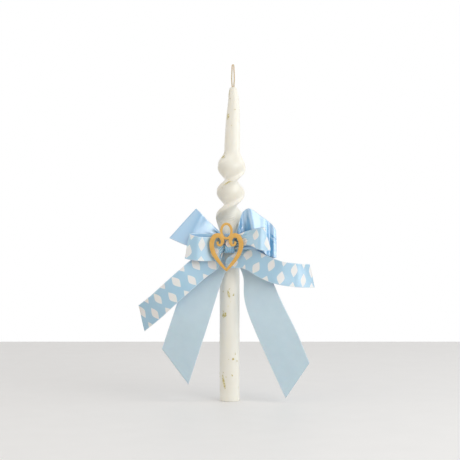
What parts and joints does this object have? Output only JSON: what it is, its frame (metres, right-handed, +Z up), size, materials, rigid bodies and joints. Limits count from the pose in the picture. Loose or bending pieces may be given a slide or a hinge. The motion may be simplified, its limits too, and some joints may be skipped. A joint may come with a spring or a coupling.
{
  "type": "twisted taper candle with ribbon bow",
  "caption": "Tall ivory taper candle, twisted below its tapered end, with a looped wick, gold leaf flecks and a layered ribbon bow with a gilt heart scroll.",
  "frame": {"origin": "centre of the candle's flat base, where it stands on the table", "axes": "+Z up along the shaft, the bow faces -Y, +X to the viewer's right"},
  "size_m": [0.1933, 0.0536, 0.37],
  "materials": {
    "ivory_wax": "satin",
    "waxed_cotton": "matte",
    "gold_leaf": "satin",
    "satin_ribbon": "satin",
    "printed_ribbon": "matte",
    "white_thread": "matte",
    "clear_glue": "gloss",
    "gilt_sheet": "mirror gold"
  },
  "bodies": {
    "root": {"wax_body": "ivory_wax", "wick": "waxed_cotton", "gold_flake_1": "gold_leaf", "gold_flake_2": "gold_leaf", "gold_flake_3": "gold_leaf", "gold_flake_4": "gold_leaf", "gold_flake_5": "gold_leaf", "gold_flake_6": "gold_leaf", "gold_flake_7": "gold_leaf", "gold_flake_8": "gold_leaf", "gold_flake_9": "gold_leaf", "candle_band": "satin_ribbon", "bow_glue_pad": "clear_glue", "binding_thread": "white_thread", "satin_tail_left": "satin_ribbon", "satin_tail_right": "satin_ribbon", "satin_loop_left": "satin_ribbon", "satin_loop_right": "satin_ribbon", "printed_tail_left": "printed_ribbon", "printed_tail_right": "printed_ribbon", "printed_loop_left": "printed_ribbon", "printed_loop_right": "printed_ribbon", "knot_wrap": "printed_ribbon", "scroll_glue_pad": "clear_glue", "gilt_scroll": "gilt_sheet"}
  },
  "joints": []
}
